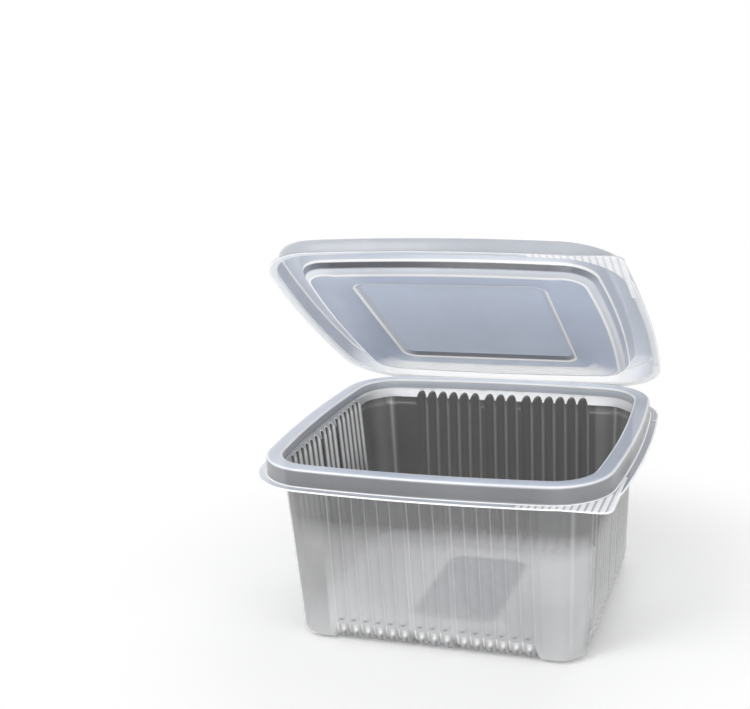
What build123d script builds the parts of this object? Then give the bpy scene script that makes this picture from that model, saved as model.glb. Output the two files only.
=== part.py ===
"""Hinged-lid food tub, thermoformed from one sheet of clear plastic and folded once.

Millimetres, +Z up, +X to the right, +Y to the back where the lid is hinged.
The origin is on the surface that the tub stands on, midway between its outer edges.
"""

import os
from math import atan, cos, degrees, pi, radians, sin, sqrt, tan

from build123d import *

# Sheet and fits
sheet = 0.5  # thickness of the formed sheet
nest_gap = 0.3  # room between the closed lid and the rim it goes over

# Rim, seen from above
rim_width = 140.0
rim_depth = 134.0
side_bow = 4.2  # how far the middle of each side stands out
corner_radius = 25.0

# Rim section
flange_level = 64.0  # underside of the tub's flange
flange_width = 3.4
bead_width = 6.4
bead_height = 7.3
bead_bevel = 0.9
mouth_bevel = 0.8

# Body
ledge_width = 2.8  # step from the bead's inner wall to the wall of the body
ledge_height = 3.6
ledge_drop = 0.25  # ledge's lower edge below the flange's underside
wall_draft = 3.2  # degrees
corner_facet = 12.0  # width of the flat across each upright corner
base_panel_width = 34.0
base_panel_depth = 58.0
base_panel_radius = 6.0
base_panel_rise = 1.0

# Flutes: flat-topped ribs that run down each wall and turn in under the base as feet
flute_width = 4.2
flute_depth = 1.35
flute_flank = 55.0  # degrees, slope of a flute's two sides
flute_root = 0.2  # depth to which a flute's form is sunk in the wall's form
flute_pitch = 4.8
flutes_in_outer_group = 6
flutes_in_middle_group = 3
group_gap = 0.35  # extra room between two groups, in pitches
flute_run_up = 0.75  # share of the ledge's height that a flute cuts into
foot_length = 9.0
foot_bevel = 2.5

# Lid
plug_draft = 28.0  # degrees
lid_panel_drop = 0.5  # lid panel's underside below the tub's flange
raised_panel_width = 72.4
raised_panel_depth = 73.6
raised_panel_radius = 5.0
raised_panel_height = 1.8
raised_panel_bevel = 1.4
raised_panel_shift = 3.8  # the raised panel stands this much towards the front

# Hinge and grip tab
hinge_length = 98.0
hinge_reach = 5.0  # fold line behind the flange's back edge
hinge_gap = 0.2  # room between the two halves at the fold line
open_angle = 36.0  # how far the lid stands open at rest
tab_inset = 2.6  # tab's square corner inside the rim's overall corner
tab_radius = 4.0
tab_length = 26.0

# Levels and places that follow
bead_top = flange_level + bead_height
flange_top = flange_level + sheet
base_level = flute_depth
ledge_level = flange_level - ledge_drop
neck_inset = flange_width + bead_width
body_width = rim_width - 2 * (neck_inset + ledge_width) + 2 * sheet
body_depth = rim_depth - 2 * (neck_inset + ledge_width) + 2 * sheet
centre_y = -hinge_reach / 2
fold_y = centre_y + rim_depth / 2 + hinge_reach
fold_z = flange_top + nest_gap / 2
lid_flange_level = flange_top + nest_gap
channel_ceiling = bead_top + nest_gap
lid_top = channel_ceiling + sheet
lid_panel_level = flange_level - lid_panel_drop
inner_bevel = bead_bevel - sheet * (2 - sqrt(2))
channel_bevel = bead_bevel + sheet * (2 - sqrt(2))


def level(height):
    """Plane of a horizontal section through the middle of the tub."""
    return Plane((0, centre_y, height))


def rim_section(height, inset=0):
    """The rim's outline: four bowed sides with round corners, set in from the outer edge."""
    half_width = rim_width / 2 - side_bow
    half_depth = rim_depth / 2 - side_bow
    with BuildSketch(level(height)) as section:
        with BuildLine():
            SagittaArc((-half_width, -half_depth), (half_width, -half_depth), -side_bow)
            SagittaArc((half_width, -half_depth), (half_width, half_depth), -side_bow)
            SagittaArc((half_width, half_depth), (-half_width, half_depth), -side_bow)
            SagittaArc((-half_width, half_depth), (-half_width, -half_depth), -side_bow)
        make_face()
        fillet(section.vertices(), corner_radius)
        if inset:
            offset(amount=-inset)
    return section.sketch


def body_section(height, inset=0):
    """The body's outline at the ledge: a rectangle with a flat across each corner."""
    with BuildSketch(level(height)) as section:
        Rectangle(body_width, body_depth)
        chamfer(section.vertices(), corner_facet / sqrt(2))
        if inset:
            offset(amount=-inset, kind=Kind.INTERSECTION)
    return section.sketch


def flange_section(height):
    """The flange's outline, with the hinge strip at the back and the grip tab at the front right."""
    with BuildSketch(level(height)) as section:
        with Locations((rim_width / 2 - tab_inset, tab_inset - rim_depth / 2)):
            Rectangle(tab_length, tab_length, align=(Align.MAX, Align.MIN))
        fillet(section.vertices().sort_by(Axis.X)[-2:].sort_by(Axis.Y)[0], tab_radius)
        with Locations((0, rim_depth / 2 + hinge_reach - hinge_gap / 2)):
            Rectangle(hinge_length, rim_depth / 4, align=(Align.CENTER, Align.MAX))
        add(rim_section(0).moved(Location((0, -centre_y, 0))))
    return section.sketch


def flute_offsets():
    """Places of the flutes along a wall, in three groups about its middle."""
    middle_end = (flutes_in_middle_group - 1) / 2
    outer_start = middle_end + 1 + group_gap
    outer = [outer_start + k for k in range(flutes_in_outer_group)]
    middle = [k - middle_end for k in range(flutes_in_middle_group)]
    return [flute_pitch * place for place in [-k for k in reversed(outer)] + middle + outer]


def flute_rod(inset):
    """A bar along one flute, for a wall whose outside faces +X and meets the ledge at x = 0."""
    lean = radians(wall_draft)
    rise = flute_run_up * ledge_height
    foot_x = (base_level - ledge_level) * tan(lean)
    flank = radians(flute_flank)
    root_width = flute_width - 2 * inset * tan(flank / 2) + 2 * flute_root / tan(flank)
    with BuildPart() as rod:
        with BuildLine(Plane.XZ) as path:
            Polyline(
                (rise * tan(lean), ledge_level + rise),
                (foot_x + foot_bevel * sin(lean), base_level + foot_bevel * cos(lean)),
                (foot_x - foot_bevel, base_level),
                (foot_x - foot_length + inset, base_level),
            )
        with BuildSketch(Plane(path.line @ 0, x_dir=(0, 1, 0), z_dir=path.line % 0)):
            with Locations((0, -inset - flute_root)):
                Trapezoid(root_width, flute_depth + flute_root, flute_flank, align=(Align.CENTER, Align.MIN))
        sweep(path=path.line, transition=Transition.RIGHT)
    return rod.part


def flared(section, height, angle):
    """A section extruded up, or down for a minus height, with sides that lean outward going up."""
    with BuildPart() as solid:
        extrude(section, amount=height)
        sides = solid.faces().filter_by(Axis.Z, reverse=True)
        draft(sides, Plane(section.faces()[0].center()), -angle)
    return solid.part


def body_form(inset, top):
    """The body's solid form up to the rim: its outside, or its hollow when set in by the sheet."""
    neck = neck_inset - sheet + inset
    corner = radians(90 + wall_draft) / 2
    bevel = foot_bevel - inset * tan(pi / 4 - corner / 2) / sin(corner)
    ledge = body_section(ledge_level, inset)
    with BuildPart() as form:
        # Ledge and the mouth above it
        add(flared(ledge, top - ledge_level, degrees(atan(ledge_width / ledge_height))))
        extrude(rim_section(ledge_level, neck), amount=top - ledge_level, mode=Mode.INTERSECT)
        # Walls and base
        add(flared(ledge, base_level + inset - ledge_level, wall_draft))
        chamfer(form.edges().group_by(Axis.Z)[0], bevel)
        rod = flute_rod(inset)
        for turn, reach in ((0, body_width), (90, body_depth), (180, body_width), (270, body_depth)):
            wall = Location((0, centre_y, 0), (0, 0, turn))
            with Locations([wall * Location((reach / 2, place, 0)) for place in flute_offsets()]):
                add(rod)
        with BuildSketch(level(base_level + inset)):
            RectangleRounded(
                base_panel_width + 2 * inset, base_panel_depth + 2 * inset, base_panel_radius + inset
            )
        extrude(amount=base_panel_rise, mode=Mode.SUBTRACT)
        # Bevel round the mouth
        flare_level = bead_top - mouth_bevel - (sheet - inset) * tan(pi / 8)
        mouth = rim_section(flare_level, neck)
        loft([mouth, rim_section(top, neck - (top - flare_level))], ruled=True)
    return form.part


def rim_block(height, inset, top, bevel):
    """A solid block with the rim's outline and a bevelled top edge."""
    with BuildPart() as block:
        extrude(rim_section(height, inset), amount=top - height)
        chamfer(block.edges().group_by(Axis.Z)[-1], bevel)
    return block.part


def plug_form(inset, top):
    """The lid plug's solid form: its outside, or the hollow above the panel when set in by the sheet."""
    slope = radians(plug_draft)
    upper = neck_inset + nest_gap + inset / cos(slope) - (top - channel_ceiling) * tan(slope)
    with BuildPart() as form:
        extrude(
            rim_section(top, upper),
            amount=top - lid_panel_level - inset,
            dir=(0, 0, -1),
            taper=plug_draft,
        )
    return form.part


def raised_panel(height):
    """The raised rectangle in the middle of the lid, standing on the given level."""
    with BuildPart() as panel:
        with BuildSketch(Plane((0, centre_y - raised_panel_shift, height))):
            RectangleRounded(raised_panel_width, raised_panel_depth, raised_panel_radius)
        extrude(amount=raised_panel_height, taper=degrees(atan(raised_panel_bevel / raised_panel_height)))
    return panel.part


with BuildPart() as tub:
    extrude(flange_section(flange_level), amount=sheet)
    add(rim_block(flange_level, flange_width, bead_top, bead_bevel))
    add(
        rim_block(flange_level - sheet, flange_width + sheet, bead_top - sheet, inner_bevel),
        mode=Mode.SUBTRACT,
    )
    add(body_form(0, bead_top - sheet / 2))
    add(body_form(sheet, bead_top + sheet), mode=Mode.SUBTRACT)

# The lid is formed closed over the tub, and then turned about the fold line to stand open
with BuildPart() as closed_lid:
    extrude(flange_section(lid_flange_level), amount=sheet)
    add(rim_block(lid_flange_level, flange_width - nest_gap - sheet, lid_top, channel_bevel))
    add(
        rim_block(lid_flange_level - sheet, flange_width - nest_gap, channel_ceiling, bead_bevel),
        mode=Mode.SUBTRACT,
    )
    add(plug_form(0, channel_ceiling + sheet / 2))
    add(plug_form(sheet, lid_top + sheet), mode=Mode.SUBTRACT)
    add(raised_panel(lid_panel_level + sheet))
    add(raised_panel(lid_panel_level), mode=Mode.SUBTRACT)

fold_line = Axis((0, fold_y, fold_z), (-1, 0, 0))
lid = closed_lid.part.rotate(fold_line, open_angle)

os.makedirs("parts", exist_ok=True)
for piece, name in ((tub.part, "tub"), (lid, "lid")):
    piece.label = name
    export_step(piece, f"parts/{name}.step")
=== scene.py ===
"""Looks of the hinged-lid food tub: smooth formed sheets for tub and lid, grip ridges, light and camera."""

import math

import bpy
import numpy as np
from mathutils import Matrix


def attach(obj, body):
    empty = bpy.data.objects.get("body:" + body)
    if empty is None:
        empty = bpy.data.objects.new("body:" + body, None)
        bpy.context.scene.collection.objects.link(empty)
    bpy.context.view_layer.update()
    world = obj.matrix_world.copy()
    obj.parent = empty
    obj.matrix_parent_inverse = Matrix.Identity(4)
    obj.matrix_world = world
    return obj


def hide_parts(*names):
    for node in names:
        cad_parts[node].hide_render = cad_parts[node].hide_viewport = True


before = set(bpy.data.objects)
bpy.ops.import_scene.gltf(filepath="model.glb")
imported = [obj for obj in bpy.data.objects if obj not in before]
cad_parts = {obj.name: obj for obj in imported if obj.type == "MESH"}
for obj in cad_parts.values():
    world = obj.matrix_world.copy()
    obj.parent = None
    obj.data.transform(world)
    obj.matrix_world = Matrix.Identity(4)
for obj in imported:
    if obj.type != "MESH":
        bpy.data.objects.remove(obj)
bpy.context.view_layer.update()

MM = 0.001  # one millimetre in Blender's metres

# Sizes in millimetres, slopes and the lid's angle at rest, the same as in the part's source
SHEET = 0.5
NEST = 0.3  # room between the closed lid and the rim it goes over
HALF_WIDTH = 70.0
HALF_DEPTH = 67.0
BOW = 4.2  # how far the middle of each side stands out
CORNER = 25.0
FLANGE_Z = 64.0  # underside of the tub's flange
FLANGE_WIDTH = 3.4
BEAD_WIDTH = 6.4
BEAD_HEIGHT = 7.3
LEDGE_WIDTH = 2.8
LEDGE_HEIGHT = 3.6
LEDGE_DROP = 0.25
DRAFT = math.tan(math.radians(3.2))
FACET = 12.0  # width of the flat across each upright corner
FLUTE_DEPTH = 1.35
PITCH = 4.8
OUTER_GROUP = 6
GROUP_GAP = 0.35  # extra room between two groups of flutes, in pitches
FOOT_LENGTH = 9.0
PANEL_HALF = (17.0, 29.0)
PANEL_RADIUS = 6.0
PANEL_RISE = 1.0
PLUG_SLOPE = math.tan(math.radians(28.0))
LID_DROP = 0.5
RAISED_HALF = (36.2, 36.8)
RAISED_RADIUS = 5.0
RAISED_HEIGHT = 1.8
RAISED_BEVEL = 1.4
RAISED_SHIFT = 3.8  # the raised rectangle stands this much towards the front
HINGE_LENGTH = 98.0
HINGE_REACH = 5.0
HINGE_GAP = 0.2
OPEN = math.radians(36.0)
TAB_INSET = 2.6
TAB_RADIUS = 4.0

# Sizes in millimetres that only the scene has: rounds, grip ridges and buttons
FLUTE_HALF = 2.26  # half width of a flute's round section
FLUTED_HALF = 37.5  # half length of the fluted stretch of a side
FLUTED_FADE = 1.5  # from the stretch's end to where the base bends as at a corner
BEND = 6.2  # round at the base under a flute
CORNER_BEND = 1.2  # round at the base in the corners
FACET_ROUND = 3.0  # run of the round at each edge of a corner's flat
MOUTH_ROUND = 0.8
BEAD_ROUND = 0.7
FOOT_ROUND = 1.2  # from the bead's wall to the tub's flange
CHANNEL_ROUND = 0.9
SKIRT_ROUND = 1.1  # from the channel's wall to the lid's flange
LIP_RISE = 1.5  # height of the round lip at the plug's lower edge
GRIP_PITCH = 2.35
GRIP_START = 34.7
GRIP_BACK = -30.0
GRIP_TOOTH = 0.45
BUTTON_PLACE = (67.0, 36.5)
BUTTON_RADIUS = 1.2

# Columns of the sheets
SIDE = 40.0  # half length of the stretch of each side that keeps its own coordinate
OFF_SIDE = 99.0  # stands for the coordinate along a side at the corners
PLAIN_COLUMNS = 41  # on a side without flutes
FLUTE_COLUMNS = (-1, -0.9, -0.6, -0.3, 0, 0.3, 0.6, 0.9, 1)  # shares of a flute's half width
EXTRA_STEP = 0.6  # from a group's end, or a side's end, to one more column
GRIP_COLUMNS = 240

# Levels and places that follow, in the tub's own middle
NECK = FLANGE_WIDTH + BEAD_WIDTH
BEAD_TOP = FLANGE_Z + BEAD_HEIGHT
BASE_Z = FLUTE_DEPTH
LEDGE_Z = FLANGE_Z - LEDGE_DROP
MIDDLE_Y = -HINGE_REACH / 2
FOLD_Y = MIDDLE_Y + HALF_DEPTH + HINGE_REACH
FOLD_Z = FLANGE_Z + SHEET + NEST / 2
BODY_HALF_WIDTH = HALF_WIDTH - NECK - LEDGE_WIDTH + SHEET
BODY_HALF_DEPTH = HALF_DEPTH - NECK - LEDGE_WIDTH + SHEET
LID_FLANGE_Z = FLANGE_Z + SHEET + NEST
CEILING = BEAD_TOP + NEST
LID_LOW = FLANGE_Z - LID_DROP
PLUG_LOW = NECK + NEST + (CEILING - LID_LOW) * PLUG_SLOPE

# Front, right, back and left side: direction along it and direction outward
SIDES = [
    (np.array([1.0, 0.0]), np.array([0.0, -1.0])),
    (np.array([0.0, 1.0]), np.array([1.0, 0.0])),
    (np.array([-1.0, 0.0]), np.array([0.0, 1.0])),
    (np.array([0.0, -1.0]), np.array([-1.0, 0.0])),
]


def flute_places():
    """Places of the flutes along a side, in three groups about its middle."""
    outer = [2 + GROUP_GAP + k for k in range(OUTER_GROUP)]
    return np.array([PITCH * place for place in [-k for k in reversed(outer)] + [-1, 0, 1] + outer])


FLUTES = flute_places()


def bump(offset, width):
    """1 where the offset is 0, falling smoothly to 0 on both sides."""
    return np.exp(-((offset / width) ** 2))


def flute(along):
    """Outward stand of the flutes at places along a side: round ribs, side by side in groups."""
    radius = (FLUTE_HALF**2 + FLUTE_DEPTH**2) / (2 * FLUTE_DEPTH)
    stand = np.zeros_like(along)
    for middle in FLUTES:
        away = np.abs(along - middle)
        inside = away < FLUTE_HALF
        stand[inside] = np.sqrt(radius**2 - away[inside] ** 2) - (radius - FLUTE_DEPTH)
    return stand


def near_flutes(along, shift, width):
    """How near places along a side are to a line beside the middle of each flute, from 0 to 1."""
    return np.max([bump(along - middle - shift, width) for middle in FLUTES], axis=0)


def side_stations(fine):
    """Places of the columns along one side."""
    if not fine:
        return np.linspace(-SIDE, SIDE, PLAIN_COLUMNS)
    spots = [-SIDE, -SIDE + EXTRA_STEP, SIDE - EXTRA_STEP, SIDE]
    for middle in FLUTES:
        spots += [middle + FLUTE_HALF * share for share in FLUTE_COLUMNS]
        for way in (-1, 1):
            spots.append(middle + way * PITCH / 2)
            has_neighbour = np.any(np.isclose(FLUTES, middle + way * PITCH))
            if not has_neighbour:
                spots.append(middle + way * (FLUTE_HALF + EXTRA_STEP))
    return np.unique(np.round(spots, 3))


class Loop:
    """Columns round a closed outline: a stretch of each side, then its corner."""

    def __init__(self, fine, corner_counts):
        self.s = [side_stations(fine) for _ in SIDES]
        self.phi = [np.linspace(0, 1, count + 2)[1:-1] for count in corner_counts]
        self.along = self.join(self.s, [np.full(len(phi), OFF_SIDE) for phi in self.phi])
        self.side = np.repeat(range(4), [len(s) + len(phi) for s, phi in zip(self.s, self.phi)])
        self.is_side = self.along < OFF_SIDE
        self.count = len(self.along)

    @staticmethod
    def join(on_sides, at_corners):
        """One value for each column, from those on each side and at the corner after it."""
        return np.concatenate([part for pair in zip(on_sides, at_corners) for part in pair])

    def trace(self, side_out, corner_path):
        """Points of one row: side_out(k, s) is the outward place, corner_path(k) a line of points."""
        rows = []
        for k, (along, outward) in enumerate(SIDES):
            rows.append(self.s[k][:, None] * along + side_out(k, self.s[k])[:, None] * outward)
            path = corner_path(k)
            length = np.r_[0, np.cumsum(np.linalg.norm(np.diff(path, axis=0), axis=1))]
            at = self.phi[k] * length[-1]
            a, b = np.interp(at, length, path[:, 0]), np.interp(at, length, path[:, 1])
            rows.append(a[:, None] * along + b[:, None] * outward)
        return np.vstack(rows)

    def outward(self):
        """Outward direction of each column's side; zero at corners."""
        directions = np.array([SIDES[k][1] for k in self.side])
        return directions * self.is_side[:, None]

    def blend(self, values):
        """A value for each column from one for each side, with a smooth change round the corners."""
        on_sides = [np.full(len(s), float(value)) for s, value in zip(self.s, values)]
        at_corners = []
        for k, phi in enumerate(self.phi):
            at_corners.append(values[k] + (values[(k + 1) % 4] - values[k]) * phi)
        return self.join(on_sides, at_corners)

    def upright(self, corner, at, width):
        """1 on an upright stripe in one corner, at a share of its path from the front or back wall."""
        path = self.phi[corner] if corner % 2 == 0 else 1 - self.phi[corner]
        at_corners = [phi * 0 for phi in self.phi]
        at_corners[corner] = bump(path - at, width)
        return self.join([s * 0 for s in self.s], at_corners)


def bow_arc(half_out, half_along):
    """Centre, outward from the middle, and radius of one bowed side."""
    radius = ((half_along - BOW) ** 2 + BOW**2) / (2 * BOW)
    return half_out - radius, radius


def rim_fillet(half_out, half_next):
    """Centre of the rim's corner round, in (next side's outward, this side's outward), and both bows."""
    c0, r0 = bow_arc(half_out, half_next)
    c1, r1 = bow_arc(half_next, half_out)
    a, b = half_next - BOW - CORNER, half_out - BOW - CORNER
    for _ in range(40):
        g0, g1 = math.hypot(a, b - c0), math.hypot(a - c1, b)
        miss = np.array([g0 - (r0 - CORNER), g1 - (r1 - CORNER)])
        slope = np.array([[a / g0, (b - c0) / g0], [(a - c1) / g1, b / g1]])
        da, db = np.linalg.solve(slope, -miss)
        a, b = a + da, b + db
    return a, b, c0, r0, c1, r1


def rim(loop, inset):
    """The rim's outline, set in from the flange's edge."""

    def halves(k):
        return (HALF_DEPTH, HALF_WIDTH) if k % 2 == 0 else (HALF_WIDTH, HALF_DEPTH)

    def side_out(k, s):
        centre, radius = bow_arc(*halves(k))
        return centre + np.sqrt((radius - inset) ** 2 - s**2)

    def corner_path(k):
        a, b, c0, r0, c1, r1 = rim_fillet(*halves(k))
        start, stop = math.atan2(b - c0, a), math.atan2(b, a - c1)
        first = np.linspace(SIDE, (r0 - inset) * math.cos(start), 12)[:-1]
        turn = np.linspace(start, stop, 60)
        last = np.linspace((r1 - inset) * math.sin(stop), SIDE, 12)[1:]
        return np.vstack(
            [
                np.c_[first, c0 + np.sqrt((r0 - inset) ** 2 - first**2)],
                np.c_[a + (CORNER - inset) * np.cos(turn), b + (CORNER - inset) * np.sin(turn)],
                np.c_[c1 + np.sqrt((r1 - inset) ** 2 - last**2), last],
            ]
        )

    return loop.trace(side_out, corner_path)


def rim_at(loop, insets):
    """The rim's outline, set in by an amount of its own at each column."""
    step = 10
    outer = rim(loop, 0)
    return outer + (rim(loop, step) - outer) * (np.asarray(insets) / step)[:, None]


def body(loop, inset):
    """The body's outline: a rectangle with a softened flat across each corner."""
    half_width, half_depth = BODY_HALF_WIDTH - inset, BODY_HALF_DEPTH - inset

    def halves(k):
        return (half_depth, half_width) if k % 2 == 0 else (half_width, half_depth)

    def corner_path(k):
        out, nxt = halves(k)
        leg = FACET / math.sqrt(2) - (2 - math.sqrt(2)) * inset
        soft = min(FACET_ROUND, 0.45 * leg * math.sqrt(2))
        diagonal = soft / math.sqrt(2)
        first = [(nxt - leg - soft, out), (nxt - leg, out), (nxt - leg + diagonal, out - diagonal)]
        second = [(nxt - diagonal, out - leg + diagonal), (nxt, out - leg), (nxt, out - leg - soft)]
        points = [np.array([[SIDE, out]])]
        t = np.linspace(0, 1, 12)[:, None]
        for p, q, r in (np.array(first), np.array(second)):
            points.append((1 - t) ** 2 * p + 2 * t * (1 - t) * q + t**2 * r)
        points.append(np.array([[nxt, SIDE]]))
        return np.vstack(points)

    return loop.trace(lambda k, s: np.full(len(s), halves(k)[0]), corner_path)


def panel(loop, half, radius, inset):
    """A rounded rectangle, with the side's columns drawn together to fit it."""
    rows = []
    for k, (along, outward) in enumerate(SIDES):
        out, nxt = (half[1], half[0]) if k % 2 == 0 else half
        drawn = loop.s[k] * (nxt - radius) / SIDE
        rows.append(drawn[:, None] * along + (out - inset) * outward)
        turn = (1 - loop.phi[k]) * math.pi / 2
        a = nxt - radius + (radius - inset) * np.cos(turn)
        b = out - radius + (radius - inset) * np.sin(turn)
        rows.append(a[:, None] * along + b[:, None] * outward)
    return np.vstack(rows)


def flange_edge(loop):
    """Outer edge of a flange: the rim's outline, the tab's square corner and the hinge strip."""
    edge = rim(loop, 0)
    fillet = rim_fillet(HALF_DEPTH, HALF_WIDTH)
    centre = np.array([fillet[0], -fillet[1]])
    tab_x, tab_y = HALF_WIDTH - TAB_INSET, TAB_INSET - HALF_DEPTH
    round_centre = np.array([tab_x - TAB_RADIUS, tab_y + TAB_RADIUS])
    tiny = 1e-6
    for i, point in enumerate(edge):
        away = point - centre
        if away[0] > 0 and away[1] < 0:
            reach = min((tab_x - centre[0]) / max(away[0], tiny), (tab_y - centre[1]) / min(away[1], -tiny))
            square = centre + away * reach
            past = square - round_centre
            if past[0] > 0 and past[1] < 0:
                square = round_centre + past / max(np.linalg.norm(past) / TAB_RADIUS, tiny)
            if reach > 1:
                edge[i] = square
    on_back, end = edge[:, 1] > 0, HINGE_LENGTH / 2
    strip = on_back & (np.abs(edge[:, 0]) < end)
    edge[strip, 1] = HALF_DEPTH + HINGE_REACH - HINGE_GAP / 2
    # Square ends: the nearest column on either side of each end is drawn to it
    for way in (-1, 1):
        for group in (strip, on_back & ~strip):
            nearest = np.where(group, np.abs(way * edge[:, 0] - end), np.inf).argmin()
            edge[nearest, 0] = way * end
    return edge


def arc(centre, radius, start, stop, count):
    """Points of an arc between two angles in degrees."""
    turn = np.radians(np.linspace(start, stop, count))
    return [(centre[0] + radius * math.cos(a), centre[1] + radius * math.sin(a)) for a in turn]


def toned(points, tones):
    """Rows of a section from its points and a tone for each of them."""
    return [(inset, z, tone) for (inset, z), tone in zip(points, tones)]


def grid_faces(rows, count, closed=True):
    """Quads between rows of points, which are closed rings or open lines."""
    here = np.arange(count if closed else count - 1)
    after = (here + 1) % count
    faces = []
    for row in range(rows - 1):
        low, high = row * count, (row + 1) * count
        faces += np.c_[low + here, low + after, high + after, high + here].tolist()
    return faces


def film_mesh(name, points, faces, tints, materials):
    """A piece in metres with its colours kept on its points."""
    data = bpy.data.meshes.new(name)
    data.from_pydata((points * MM).tolist(), [], faces)
    for label, colours in tints.items():
        layer = data.attributes.new(label, "FLOAT_COLOR", "POINT")
        layer.data.foreach_set("color", colours.astype(np.float32).ravel())
    data.polygons.foreach_set("use_smooth", np.ones(len(faces), bool))
    for material in materials:
        data.materials.append(material)
    data.update()
    piece = bpy.data.objects.new(name, data)
    bpy.context.scene.collection.objects.link(piece)
    return piece


class Sheet:
    """Rows of columns from the middle outward, with the colours of both of the sheet's faces."""

    def __init__(self, loop):
        self.loop = loop
        self.rows = []
        self.inside = []
        self.outside = []

    def add(self, xy, z, inside, outside):
        count = self.loop.count
        self.rows.append(np.c_[xy, np.broadcast_to(z, count)])
        self.inside.append(np.broadcast_to(inside, (count, 4)).astype(float))
        self.outside.append(np.broadcast_to(outside, (count, 4)).astype(float))

    def mesh(self, name, materials, place):
        """The rows as one surface, closed at its middle and given the sheet's thickness."""
        count, rows = self.loop.count, len(self.rows)
        points = place(np.vstack(self.rows + [self.rows[0].mean(0)]))
        here = np.arange(count)
        fan = np.c_[np.full(count, count * rows), (here + 1) % count, here].tolist()
        tints = {
            "tone_and_light_in": np.vstack(self.inside + [self.inside[0][:1]]),
            "tone_and_light_out": np.vstack(self.outside + [self.outside[0][:1]]),
        }
        piece = film_mesh(name, points, fan + grid_faces(rows, count), tints, materials)
        thick = piece.modifiers.new("sheet", "SOLIDIFY")
        thick.thickness = SHEET * MM
        thick.offset = -1
        thick.material_offset = 1
        thick.material_offset_rim = 1
        return piece


def grey(level, cover, cool=0.0):
    """A linear colour from a 0-255 display grey, cooled towards blue, with its cover."""
    level, cover = np.broadcast_arrays(np.asarray(level, float), np.asarray(cover, float))
    shown = np.stack([level - cool, level - 0.25 * cool, level + 1.25 * cool], -1).clip(0, 255) / 255
    linear = np.where(shown <= 0.04045, shown / 12.92, ((shown + 0.055) / 1.055) ** 2.4)
    return np.concatenate([linear, cover[..., None]], -1)


def mix(a, b, share):
    """The first tone with a share of the second."""
    share = np.asarray(share)[..., None]
    return a * (1 - share) + b * share


def in_place(points):
    """From the tub's own middle to the shared frame."""
    return points + np.array([0.0, MIDDLE_Y, 0.0])


def open_lid(points):
    """Turns points of the closed lid about the fold line to where the lid stands at rest."""
    p = in_place(points)
    away, high = FOLD_Y - p[:, 1], p[:, 2] - FOLD_Z
    y = FOLD_Y - (away * math.cos(OPEN) - high * math.sin(OPEN))
    z = FOLD_Z + away * math.sin(OPEN) + high * math.cos(OPEN)
    return np.c_[p[:, 0], y, z]


# Painted highlight lines along the sheets' edges and rounds
HIGHLIGHT_LINE = grey(252, 0.95, 1)
# Painted highlight on the grip ridges' tops
GRIP_HIGHLIGHT = grey(250, 0.95, 1)


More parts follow.
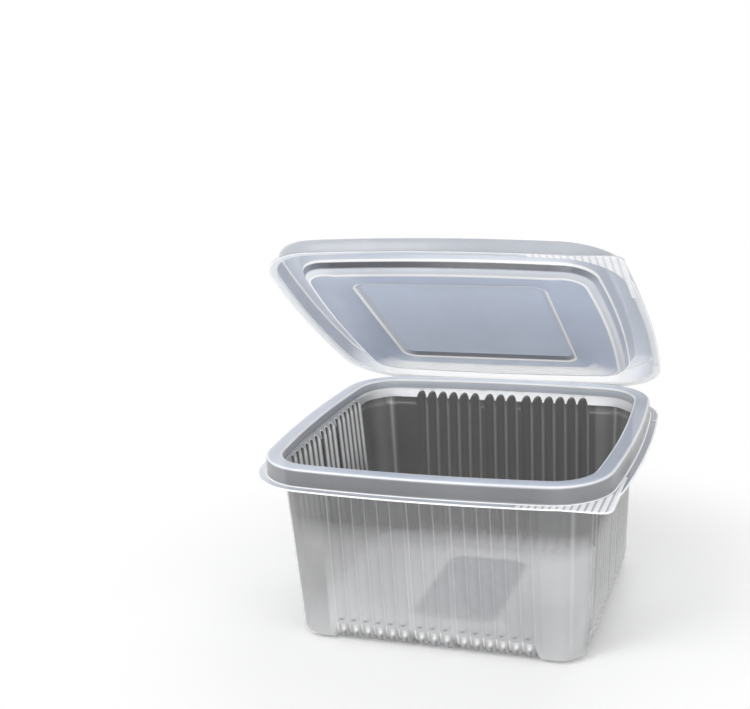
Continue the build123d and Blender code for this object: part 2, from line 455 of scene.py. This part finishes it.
def build_tub(materials):
    """The tub's sheet, row by row from the middle of the base to the flange's edge."""
    loop = Loop(True, [36, 22, 22, 22])
    sheet = Sheet(loop)
    outward = loop.outward()
    along = loop.along
    rib = flute(along)
    fluted = np.clip((FLUTED_HALF + FLUTED_FADE - np.abs(along)) / FLUTED_FADE, 0, 1)
    side_walls = loop.blend((0, 1, 0, 1))
    # Painted highlight lines along one edge of each rib
    crease_highlight = near_flutes(along, -FLUTE_HALF, 0.28)
    # Painted light on one flank of each rib, used on the side walls inside
    lit_flank = near_flutes(along, -0.9 * FLUTE_HALF, 0.42)
    # Painted shade in the valleys between the ribs, low down
    valley_shade = np.where(np.abs(along) < FLUTED_HALF, np.clip(1 - 1.5 * rib / FLUTE_DEPTH, 0, 1), 0.0)
    base_inset = (LEDGE_Z - BASE_Z) * DRAFT

    # Base: middle panel, then the flat round it
    # The base inside is painted near white as painted light, far brighter than the walls of the same
    # plastic
    floor_in = grey(254, 0.97)
    base_panel = grey(146, 0.95, 9)
    foot_out = grey(206, 0.6)
    for inset, rise in ((2.4, 1.0), (1.2, 0.9), (0.4, 0.3), (-0.2, 0.0)):
        ring = panel(loop, PANEL_HALF, PANEL_RADIUS, inset)
        tone = mix(base_panel, floor_in, 1 - rise)
        sheet.add(ring, BASE_Z + PANEL_RISE * rise, tone, foot_out)
    foot_end = body(loop, base_inset + FOOT_LENGTH + 0.5)
    for share in (0.5, 1.0):
        sheet.add(ring * (1 - share) + foot_end * share, BASE_Z, floor_in, foot_out)

    # Feet: the ribs turn in under the base; a wavy line of painted shade marks their inner ends, and
    # painted shade darkens the valleys between them outside
    foot_end_shade = grey(104, 0.9)
    foot_valley_shade = grey(88, 0.85)
    for length, depth, mark in ((8.9, 0.35, 0.2), (8.6, 0.75, 0.8), (8.2, 0.95, 0.2), (7.0, 1.0, 0.0)):
        inside = mix(floor_in, foot_end_shade, mark * (1 - side_walls) * loop.is_side)
        outside = mix(foot_out, foot_valley_shade, valley_shade)
        sheet.add(body(loop, base_inset + length), BASE_Z - rib * depth, inside, outside)

    # Bend: a wide round under each rib, and a tight one at the corners. Outside, each foot is darker across
    # the middle of its bend, with slanted strokes of painted shade, painted highlight on its creases, a
    # painted glint near its top and a painted highlight stroke low on the front-left corner
    foot_middle = grey(172, 0.62)
    foot_shade_stroke = grey(96, 0.8)
    painted_glint = grey(255, 0.97)
    # Painted light: the walls inside lighter low down, by a different amount on each side
    low_wall_shading = grey(loop.blend((180, 112, 96, 132)), 0.94)
    bend = CORNER_BEND + (BEND - CORNER_BEND) * fluted
    for turn in np.radians(np.linspace(0, 90, 8)):
        reach = 1 - math.sin(turn)
        wide = body(loop, base_inset + BEND * reach)
        tight = body(loop, base_inset + CORNER_BEND * reach)
        xy = tight + (wide - tight) * fluted[:, None] + outward * (rib * math.sin(turn))[:, None]
        z = BASE_Z + bend * (1 - math.cos(turn)) - rib * math.cos(turn)
        up = math.degrees(turn) / 90
        outside = mix(foot_out, foot_middle, math.sin(math.pi * up) * fluted)
        outside = mix(outside, foot_valley_shade, valley_shade * (1 - up) ** 0.7)
        outside = mix(outside, painted_glint, 0.7 * crease_highlight)
        outside = mix(outside, foot_shade_stroke, near_flutes(along, 2.4 * up - 1.0, 0.5) * (up < 0.8))
        outside = mix(outside, painted_glint, near_flutes(along, 0.4, 0.6) * bump(up - 0.9, 0.1))
        outside = mix(outside, painted_glint, loop.upright(3, 0.5, 0.2) * bump(up - 0.55, 0.2))
        sheet.add(xy, z, mix(floor_in, low_wall_shading, up), outside)

    # Walls: inside, dark as a painted dark reflection, lighter low down and different on each side as
    # painted light; outside, cloudy, with a painted highlight line down one edge of each rib and painted
    # light and shade by height and side
    # Painted light on the back corner flats inside, and a painted highlight line at an edge of each flat
    facet_painted_light = 40 * (loop.upright(1, 0.57, 0.17) + loop.upright(2, 0.57, 0.17))
    facet_painted_light = facet_painted_light + 46 * loop.upright(1, 0.1, 0.18)
    facet_edge_highlight = loop.upright(1, 0.345, 0.03) + loop.upright(2, 0.345, 0.03)
    upper_wall_shading = grey(loop.blend((70, 70, 71, 66)) + facet_painted_light, 0.95, -1)
    # Painted highlight lines on the ribs inside, brightest on the side walls
    ridge_highlight = grey(loop.blend((128, 215, 128, 255)), 0.95)
    # Painted highlight lines outside, down one edge of each rib and down the front-right corner flat
    rib_highlight_out = grey(244, 0.58, 1)
    ribbed = np.min([np.abs(along - middle) for middle in FLUTES], axis=0) < PITCH / 2 + 0.1
    plain = loop.is_side & ~ribbed
    # Painted light by side: lighter on the right, high on the left, and a slope across the front
    right_light = loop.blend((0, 12, 0, 0))
    left_light = loop.blend((0, 0, 0, 48))
    front = loop.is_side & (loop.side == 0)
    front_shade_slope = np.where(front, 0.4 * along, loop.blend((16, 0, 0, -16)))
    shade_dash_z = 10.0

    def rib_edge(z):
        """Share of the painted highlight line beside each rib inside, which fades out low on the side
        walls.
        """
        return crease_highlight * (1 - side_walls) + lit_flank * side_walls * np.clip((z - 26.0) / 20.0, 0, 1)

    for z in (8.4, 9.2, shade_dash_z, 10.8, 12.0, 22.0, 30.0, 40.0, 50.0, 60.0, LEDGE_Z):
        low = np.clip((34.0 - z) / 24.0, 0, 1)
        inside = mix(upper_wall_shading, low_wall_shading, low)
        inside = mix(inside, ridge_highlight, np.maximum(rib_edge(z), 0.8 * facet_edge_highlight))
        # Painted light and shade outside: lighter low down, a dark band of painted shade near the top,
        # lighter on the right side and high on the left, darker towards the right of the front low down,
        # darker on the ribs' crests and on the plain strips and lighter between the ribs
        level = np.interp(z, (7.0, 12.0, 22.0, 40.0, 50.0), (210.0, 208.0, 202.0, 196.0, 124.0))
        level = level + right_light - front_shade_slope * np.interp(z, (22.0, 40.0), (1.0, 0.0))
        level = level + left_light * np.interp(z, (40.0, 50.0), (0.0, 1.0))
        level = level + 8 * ribbed * (1 - 2 * rib / FLUTE_DEPTH) - 5 * plain
        cover = np.interp(z, (7.0, 22.0, 40.0, 50.0), (0.6, 0.53, 0.5, 0.66))
        outside = grey(level, cover, 0.5)
        outside = mix(outside, rib_highlight_out, crease_highlight * np.interp(z, (10.0, 30.0, 50.0), (0.0, 0.15, 0.28)))
        # Slanted dashes of painted shade on the walls just above the feet
        shade_dash = near_flutes(along, 1.4 * (z - shade_dash_z), 1.0) * bump(z - shade_dash_z, 0.6)
        outside = mix(outside, foot_shade_stroke, 0.85 * shade_dash)
        outside = mix(outside, rib_highlight_out, 0.25 * loop.upright(0, 0.48, 0.03))
        sheet.add(body(loop, (LEDGE_Z - z) * DRAFT) + outward * rib[:, None], z, inside, outside)

    # Ledge: it rounds out to the neck, and the ribs' tops cut arches in it; painted light makes it
    # brightest on the back, and a painted highlight outlines the arches on the side walls
    ledge_in = grey(loop.blend((190, 205, 253, 176)), 0.96, 1)
    arch_highlight = mix(ledge_in, grey(245, 0.96), side_walls * (rib > 0.05))
    rib_top = mix(upper_wall_shading, ridge_highlight, rib_edge(LEDGE_Z))
    rim_out = grey(205, 0.4, 4)
    wall, neck = body(loop, 0), rim(loop, NECK - SHEET)
    span = np.linalg.norm(neck - wall, axis=1)
    height = LEDGE_HEIGHT * (0.45 + 0.55 * np.minimum(span / LEDGE_WIDTH, 1))
    start = np.clip(rib / span, 0, 0.85) * loop.is_side

    def ledge_rise(share):
        return height * (1 - (1 - share) ** 1.8)

    for share in (0.5, 1.0):
        stand = rib + (start * span - rib) * share
        z = LEDGE_Z + ledge_rise(start) * share + 0.02 * share
        sheet.add(wall + outward * stand[:, None], z, rib_top, rim_out)
    for share in (0.04, 0.13, 0.2, 0.45, 0.72, 1.0):
        at = start + (1 - start) * share
        tone = arch_highlight if share < 0.2 else ledge_in
        sheet.add(wall + (neck - wall) * at[:, None], LEDGE_Z + 0.03 + ledge_rise(at), tone, rim_out)

    # Neck, bead and flange, by their distance in from the rim's outline; each side's tones differ as
    # painted light, the bead's top carries a painted blue-grey sky reflection, its outer wall painted
    # shade, and the rounds and the flange's edge painted highlight lines
    neck_low = grey(loop.blend((170, 178, 182, 150)), 0.92, 5)
    neck_high = grey(loop.blend((185, 196, 190, 172)), 0.9, 6)
    bead_top_reflection = grey(loop.blend((212, 184, 238, 208)), 0.88, 9)
    bead_wall_shade = grey(loop.blend((112, 146, 150, 134)), 0.9, 2)
    bead_light = grey(loop.blend((150, 166, 170, 156)), 0.9, 3)
    edge_highlight = grey(loop.blend((226, 234, 240, 234)), 0.93, 3)
    flange = grey(loop.blend((196, 157, 172, 240)), 0.88, 7)
    neck_in, bead_in = NECK - SHEET, FLANGE_WIDTH + SHEET
    top, shelf = BEAD_TOP - SHEET, LEDGE_Z + LEDGE_HEIGHT
    section = [
        (neck_in, shelf + 0.2, HIGHLIGHT_LINE),
        (neck_in, shelf + 0.45, neck_low),
        (neck_in, top - 1.6, neck_high),
    ]
    mouth = arc((neck_in - MOUTH_ROUND, top - MOUTH_ROUND), MOUTH_ROUND, 0, 90, 5)
    section += toned(mouth, (neck_high, bead_light, HIGHLIGHT_LINE, HIGHLIGHT_LINE, bead_top_reflection))
    section += [(7.6, top, bead_top_reflection), (5.6, top, bead_top_reflection)]
    edge = arc((bead_in + BEAD_ROUND, top - BEAD_ROUND), BEAD_ROUND, 90, 180, 6)
    section += toned(edge, (bead_top_reflection, bead_top_reflection, edge_highlight, edge_highlight, bead_light, bead_wall_shade))
    section += [(bead_in, top - 2.2, bead_wall_shade), (bead_in, top - 4.6, bead_wall_shade)]
    foot = arc((bead_in - FOOT_ROUND, FLANGE_Z + FOOT_ROUND), FOOT_ROUND, 0, -90, 6)
    section += toned(foot, (bead_wall_shade, bead_wall_shade, bead_light, HIGHLIGHT_LINE, HIGHLIGHT_LINE, flange))
    for inset, z, tone in section:
        sheet.add(rim(loop, inset), z, tone, rim_out)
    root, edge = rim(loop, bead_in - FOOT_ROUND), flange_edge(loop)
    for share, tone in ((0.25, flange), (0.78, flange), (0.86, HIGHLIGHT_LINE), (1.0, HIGHLIGHT_LINE)):
        sheet.add(root * (1 - share) + edge * share, FLANGE_Z, tone, rim_out)
    return sheet.mesh("tub_sheet", materials, in_place)


def build_lid(materials):
    """The lid's sheet, row by row from the middle of its panel to the flange's edge."""
    loop = Loop(False, [36, 26, 26, 26])
    sheet = Sheet(loop)
    shift = np.array([0.0, -RAISED_SHIFT])
    # Lid tones: brighter towards the hinge as painted light, the bevel with painted shade on the hinge
    # side, and painted highlight lines on the top face
    centre = grey(192, 0.92, 13)
    flat_tone = grey(loop.blend((180, 182, 206, 165)), 0.92, 13)
    bevel_light_and_shade = grey(loop.blend((215, 190, 92, 190)), 0.94, 6)
    hinge_light = grey(255, 0.4, 2)
    top_flat = grey(212, 0.5, 4)
    top_highlight = grey(250, 0.9, 2)
    top_rim = grey(loop.blend((172, 196, 236, 196)), loop.blend((0.78, 0.78, 0.35, 0.78)), 4)

    # Raised rectangle and the panel round it, clear towards the hinge, where painted light makes it bright;
    # the bevel is dark with painted shade on the hinge side and lighter with painted light elsewhere, and
    # painted highlight lines run along its edges
    for inset, rise, tone, over in (
        (16.0, 1.0, centre, top_flat),
        (3.0, 1.0, centre, top_flat),
        (RAISED_BEVEL + 0.2, 0.97, centre, top_highlight),
        (RAISED_BEVEL - 0.1, 0.9, bevel_light_and_shade, top_highlight),
        (0.4, 0.25, bevel_light_and_shade, top_flat),
        (0.15, 0.08, HIGHLIGHT_LINE, top_flat),
        (-0.6, 0.0, HIGHLIGHT_LINE, top_flat),
        (-1.0, 0.0, flat_tone, top_flat),
    ):
        radius = max(RAISED_RADIUS, inset + 0.5)
        ring = panel(loop, RAISED_HALF, radius, inset) + shift
        sheet.add(ring, LID_LOW + RAISED_HEIGHT * rise, over, tone)
    flat_inset = loop.blend((PLUG_LOW + 4.0, PLUG_LOW + 2.6, PLUG_LOW + 2.6, PLUG_LOW + 1.4))
    flat = rim_at(loop, flat_inset)
    near_hinge = loop.blend((0, 0, 1, 0))
    hinge_light_bands = ((0.2, 0), (0.37, 0), (0.43, 1), (0.54, 1), (0.58, 0.6), (0.62, 1), (0.8, 1), (0.97, 1))
    for share, white in hinge_light_bands:
        tone = mix(flat_tone, hinge_light, white * near_hinge)
        sheet.add(ring * (1 - share) + flat * share, LID_LOW, top_flat, tone)

    # Plug with its round lip, by the height above the panel; its wall is painted dark as shade on the front
    # side and white as painted light on the hinge side, with painted highlight lines
    clear_back = loop.blend((0.92, 0.92, 0.4, 0.92))
    lip = grey(loop.blend((186, 190, 255, 230)), clear_back, 5)
    wall = grey(loop.blend((30, 166, 255, 182)), clear_back, 9)
    upper_wall_shading = grey(loop.blend((196, 180, 255, 190)), clear_back, 8)

    def plug(rise):
        return np.full(loop.count, PLUG_LOW - rise * PLUG_SLOPE), LID_LOW + rise

    def lip_row(t):
        end, high = plug(LIP_RISE)
        inset = (1 - t) ** 2 * flat_inset + 2 * t * (1 - t) * PLUG_LOW + t**2 * end
        return inset, LID_LOW + t**2 * (high - LID_LOW)

    lips = ((0.0, flat_tone), (0.07, HIGHLIGHT_LINE), (0.2, HIGHLIGHT_LINE), (0.32, lip), (0.6, lip), (0.85, lip))
    section = [(*lip_row(t), tone) for t, tone in lips]
    section += [(*plug(rise), wall) for rise in (1.6, 3.2)]
    section += [(*plug(rise), HIGHLIGHT_LINE) for rise in (3.5, 4.0)]
    section += [(*plug(rise), upper_wall_shading) for rise in (4.4, 6.9)]

    # Channel and flange, by their distance in from the rim's outline; painted light makes them white on the
    # hinge side, and painted highlight lines run along the rounds and the flange's edge
    ceiling = grey(loop.blend((196, 198, 255, 202)), clear_back, 8)
    skirt = grey(loop.blend((186, 187, 255, 184)), clear_back, 8)
    flange = grey(loop.blend((222, 234, 255, 224)), 0.9, 8)
    skirt_in = FLANGE_WIDTH - NEST
    inner = arc((NECK + NEST - 0.5, CEILING - CHANNEL_ROUND), CHANNEL_ROUND, 30, 90, 4)
    rows = toned(inner, [ceiling] * 4)
    rows += [(8.0, CEILING, ceiling), (5.4, CEILING, ceiling)]
    edge = arc((skirt_in + CHANNEL_ROUND, CEILING - CHANNEL_ROUND), CHANNEL_ROUND, 90, 180, 6)
    rows += toned(edge, (ceiling, HIGHLIGHT_LINE, HIGHLIGHT_LINE, HIGHLIGHT_LINE, skirt, skirt))
    rows += [(skirt_in, z, skirt) for z in (CEILING - 2.6, LID_FLANGE_Z + 2.0)]
    foot = arc((skirt_in - SKIRT_ROUND, LID_FLANGE_Z + SKIRT_ROUND), SKIRT_ROUND, 0, -90, 5)
    rows += toned(foot, (skirt, HIGHLIGHT_LINE, HIGHLIGHT_LINE, flange, flange))
    section += [(np.full(loop.count, inset), z, tone) for inset, z, tone in rows]
    for inset, z, tone in section:
        sheet.add(rim_at(loop, inset), z, top_highlight if tone is HIGHLIGHT_LINE else top_rim, tone)
    root, edge = rim(loop, skirt_in - SKIRT_ROUND), flange_edge(loop)
    for share, tone in ((0.3, flange), (0.75, flange), (0.84, HIGHLIGHT_LINE), (1.0, HIGHLIGHT_LINE)):
        sheet.add(root * (1 - share) + edge * share, LID_FLANGE_Z, top_rim, tone)
    return sheet.mesh("lid_sheet", materials, open_lid)


def build_grip(name, material, place, level, ridge_height, groove_shade):
    """Ridges of the grip tab: a patch of fine grooves from near the bead's foot to a toothed edge, with
    painted highlight on the ridges' tops and painted shade in the grooves.
    """
    loop = Loop(False, [GRIP_COLUMNS, 8, 8, 8])
    front_and_corner = slice(0, len(loop.s[0]) + GRIP_COLUMNS)
    outer = flange_edge(loop)[front_and_corner]
    inner = rim(loop, FLANGE_WIDTH - 1.0)[front_and_corner]
    outer = outer[: np.argmax(outer[:, 0]) + 1]
    inner = inner[: np.argmax(inner[:, 0]) + 1]
    x = np.arange(GRIP_START, HALF_WIDTH - TAB_INSET - 0.2, GRIP_PITCH / 10)
    wave = 0.5 - 0.5 * np.cos(2 * math.pi * (x - GRIP_START) / GRIP_PITCH)
    front = np.interp(x, outer[:, 0], outer[:, 1]) - GRIP_TOOTH * wave + 0.2
    back = np.minimum(np.interp(x, inner[:, 0], inner[:, 1], right=GRIP_BACK), GRIP_BACK)
    back = np.maximum(back, front + 0.5)
    z = level + ridge_height * wave**0.7
    # Painted highlight on each ridge's top, painted shade in the grooves between
    tone = mix(groove_shade, GRIP_HIGHLIGHT, np.clip(2.6 * wave, 0, 1))
    shares = np.linspace(0, 1, 9)
    points = np.vstack([np.c_[x, front + (back - front) * share, z] for share in shares])
    faces = grid_faces(len(shares), len(x), closed=False)
    if ridge_height < 0:
        faces = [face[::-1] for face in faces]
    return film_mesh(name, place(points), faces, {"tone_and_light_in": np.tile(tone, (len(shares), 1))}, [material])


def build_button(name, material, place, level, height):
    """The small round snap button on the right side of a flange."""
    count = 28
    turn = np.linspace(0, 2 * math.pi, count, endpoint=False)
    circle = np.c_[np.cos(turn), np.sin(turn)]
    # Painted highlight rings on the dome, with painted shade in a darker ring between them
    rings = (
        (1.0, 0.0, grey(230, 0.9)),
        (0.85, 0.6, HIGHLIGHT_LINE),
        (0.6, 0.92, grey(176, 0.9, 5)),
        (0.25, 1.0, HIGHLIGHT_LINE),
    )
    rows, tints = [], []
    for radius, rise, tone in rings:
        ring = BUTTON_RADIUS * radius * circle + np.array(BUTTON_PLACE)
        rows.append(np.c_[ring, np.full(count, level + height * rise)])
        tints.append(np.broadcast_to(tone, (count, 4)))
    last = (len(rings) - 1) * count
    faces = [list(range(last, last + count))] + grid_faces(len(rings), count)
    if height < 0:
        faces = [face[::-1] for face in faces]
    return film_mesh(name, place(np.vstack(rows)), faces, {"tone_and_light_in": np.vstack(tints)}, [material])


def film_material(name, attribute, roughness, haze, glow=0.0):
    """Clear formed plastic: colour, with painted light and shade, and cover come from the sheet, with
    cloudy streaks and a soft gloss.

    Glow is the share of the light that spreads in the sheet and so comes through it.
    """
    material = bpy.data.materials.new(name)
    material.use_nodes = True
    nodes, links = material.node_tree.nodes, material.node_tree.links
    shader = nodes["Principled BSDF"]
    tint = nodes.new("ShaderNodeAttribute")
    tint.attribute_name = attribute
    place = nodes.new("ShaderNodeTexCoord")
    stretch = nodes.new("ShaderNodeMapping")
    stretch.inputs["Scale"].default_value = (1.0, 1.0, 0.35)
    links.new(place.outputs["Object"], stretch.inputs["Vector"])
    cloud = nodes.new("ShaderNodeTexNoise")
    cloud.inputs["Scale"].default_value = 42.0
    cloud.inputs["Detail"].default_value = 5.0
    cloud.inputs["Roughness"].default_value = 0.65
    links.new(stretch.outputs["Vector"], cloud.inputs["Vector"])
    spread = nodes.new("ShaderNodeMapRange")
    spread.inputs["From Min"].default_value = 0.3
    spread.inputs["From Max"].default_value = 0.7
    spread.inputs["To Min"].default_value = 1.0 - haze
    spread.inputs["To Max"].default_value = 1.0 + haze
    links.new(cloud.outputs["Fac"], spread.inputs["Value"])
    tone = nodes.new("ShaderNodeVectorMath")
    tone.operation = "SCALE"
    links.new(tint.outputs["Color"], tone.inputs[0])
    links.new(spread.outputs["Result"], tone.inputs["Scale"])
    links.new(tone.outputs["Vector"], shader.inputs["Base Color"])
    # Each face of the sheet is seen only from its own side
    side = nodes.new("ShaderNodeNewGeometry")
    front = nodes.new("ShaderNodeMath")
    front.operation = "SUBTRACT"
    front.inputs[0].default_value = 1.0
    links.new(side.outputs["Backfacing"], front.inputs[1])
    cover = nodes.new("ShaderNodeMath")
    cover.operation = "MULTIPLY"
    links.new(tint.outputs["Alpha"], cover.inputs[0])
    links.new(front.outputs["Value"], cover.inputs[1])
    links.new(cover.outputs["Value"], shader.inputs["Alpha"])
    shader.inputs["Roughness"].default_value = roughness
    shader.inputs["IOR"].default_value = 1.5
    shader.inputs["Subsurface Weight"].default_value = glow
    shader.inputs["Subsurface Radius"].default_value = (1.0, 1.0, 1.0)
    shader.inputs["Subsurface Scale"].default_value = 2.0 * MM
    return material


inside_film = film_material("film_inside", "tone_and_light_in", 0.22, 0.06)
outside_film = film_material("film_outside", "tone_and_light_out", 0.16, 0.05)
lid_under = film_material("film_lid_under", "tone_and_light_out", 0.2, 0.05, glow=1.0)
lid_top = film_material("film_lid_top", "tone_and_light_in", 0.2, 0.05)
grip_film = film_material("film_grip", "tone_and_light_in", 0.3, 0.12)

tub = build_tub([outside_film, inside_film])
lid = build_lid([lid_under, lid_top])
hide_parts("tub")
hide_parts("lid")
tub_pieces = [
    tub,
    build_grip("tub_grip", grip_film, in_place, FLANGE_Z + SHEET + 0.01, 0.2, grey(176, 0.9, 3)),
    build_button("tub_button", grip_film, in_place, FLANGE_Z + SHEET, 0.2),
]
lid_pieces = [
    lid,
    build_grip("lid_grip", grip_film, open_lid, LID_FLANGE_Z - 0.01, -0.05, grey(222, 0.9, 4)),
    build_button("lid_button", grip_film, open_lid, LID_FLANGE_Z, -0.05),
]
for node, pieces in (("tub", tub_pieces), ("lid", lid_pieces)):
    for piece in pieces:
        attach(piece, node)


def white_rays(nodes, links):
    """1 for rays from the camera and for those that show the background in gloss or glass."""
    ray = nodes.new("ShaderNodeLightPath")
    either = nodes.new("ShaderNodeMath")
    either.operation = "MAXIMUM"
    links.new(ray.outputs["Is Camera Ray"], either.inputs[0])
    links.new(ray.outputs["Is Transmission Ray"], either.inputs[1])
    every = nodes.new("ShaderNodeMath")
    every.operation = "MAXIMUM"
    links.new(either.outputs["Value"], every.inputs[0])
    links.new(ray.outputs["Is Glossy Ray"], every.inputs[1])
    return every.outputs["Value"]


def floor_material():
    """Pale floor that is white to the camera far from the object, with no change in the light it gives."""
    material = bpy.data.materials.new("floor_pale")
    material.use_nodes = True
    nodes, links = material.node_tree.nodes, material.node_tree.links
    shader = nodes["Principled BSDF"]
    shader.inputs["Base Color"].default_value = (0.96, 0.96, 0.96, 1)
    shader.inputs["Roughness"].default_value = 0.9
    shader.inputs["Specular IOR Level"].default_value = 0.1
    white = nodes.new("ShaderNodeEmission")
    place = nodes.new("ShaderNodeNewGeometry")
    away = nodes.new("ShaderNodeVectorMath")
    away.operation = "LENGTH"
    links.new(place.outputs["Position"], away.inputs[0])
    fade = nodes.new("ShaderNodeMapRange")
    fade.interpolation_type = "SMOOTHSTEP"
    fade.inputs["From Min"].default_value = 0.07
    fade.inputs["From Max"].default_value = 0.18
    links.new(away.outputs["Value"], fade.inputs["Value"])
    seen = nodes.new("ShaderNodeMath")
    seen.operation = "MULTIPLY"
    links.new(fade.outputs["Result"], seen.inputs[0])
    links.new(white_rays(nodes, links), seen.inputs[1])
    pick = nodes.new("ShaderNodeMixShader")
    links.new(seen.outputs["Value"], pick.inputs["Fac"])
    links.new(shader.outputs["BSDF"], pick.inputs[1])
    links.new(white.outputs["Emission"], pick.inputs[2])
    links.new(pick.outputs["Shader"], nodes["Material Output"].inputs["Surface"])
    return material


def lamp(name, place, aim, size, power):
    """A soft round lamp that faces a point."""
    light = bpy.data.lights.new(name, "AREA")
    light.shape = "DISK"
    light.size = size
    light.energy = power
    holder = bpy.data.objects.new(name, light)
    bpy.context.scene.collection.objects.link(holder)
    away = np.array(place) - np.array(aim)
    away = away / np.linalg.norm(away)
    right = np.cross([0, 0, 1], away)
    right = right / np.linalg.norm(right)
    turned = np.c_[right, np.cross(away, right), away, place]
    holder.matrix_world = Matrix([*turned.tolist(), [0, 0, 0, 1]])


# Floor and light
floor_data = bpy.data.meshes.new("floor")
floor_data.from_pydata([(-3, -3, 0), (3, -3, 0), (3, 3, 0), (-3, 3, 0)], [], [(0, 1, 2, 3)])
floor = bpy.data.objects.new("floor", floor_data)
bpy.context.scene.collection.objects.link(floor)
floor_data.materials.append(floor_material())
lamp("key", (-0.5, -0.7, 0.9), (0, 0, 0.06), 0.6, 5.0)
lamp("fill", (0.9, -0.5, 0.6), (0, 0, 0.06), 0.8, 2.0)
lamp("back", (0.1, 0.9, 0.8), (0, 0, 0.08), 0.7, 3.0)
lamp("front", (0.15, -1.3, 0.25), (0, 0, 0.08), 1.2, 11.0)

world = bpy.context.scene.world or bpy.data.worlds.new("world")
bpy.context.scene.world = world
world.use_nodes = True
world_nodes, world_links = world.node_tree.nodes, world.node_tree.links
world_nodes.clear()
soft = world_nodes.new("ShaderNodeBackground")
soft.inputs["Color"].default_value = (1, 1, 1, 1)
soft.inputs["Strength"].default_value = 0.5
white = world_nodes.new("ShaderNodeBackground")
white.inputs["Color"].default_value = (1, 1, 1, 1)
pick = world_nodes.new("ShaderNodeMixShader")
world_links.new(white_rays(world_nodes, world_links), pick.inputs["Fac"])
world_links.new(soft.outputs["Background"], pick.inputs[1])
world_links.new(white.outputs["Background"], pick.inputs[2])
world_links.new(pick.outputs["Shader"], world_nodes.new("ShaderNodeOutputWorld").inputs["Surface"])

# Camera at the photograph's viewing angle
RIGHT = np.array([0.9417, 0.3319, -0.0547])
DOWN = np.array([0.0344, -0.2567, -0.9659])
AHEAD = np.array([-0.3346, 0.9077, -0.2532])
EYE = np.array([135.2, -466.2, 227.0]) * MM
FOCAL_PIXELS = 1303.4
FRAME_PIXELS = 750
view = bpy.data.cameras.new("camera")
view.sensor_width = 36.0
view.lens = FOCAL_PIXELS / FRAME_PIXELS * view.sensor_width
camera = bpy.data.objects.new("camera", view)
bpy.context.scene.collection.objects.link(camera)
camera.matrix_world = Matrix([*np.c_[RIGHT, -DOWN, -AHEAD, EYE].tolist(), [0, 0, 0, 1]])
bpy.context.scene.camera = camera
bpy.context.scene.view_settings.view_transform = "Standard"
bpy.context.scene.cycles.transparent_max_bounces = 32
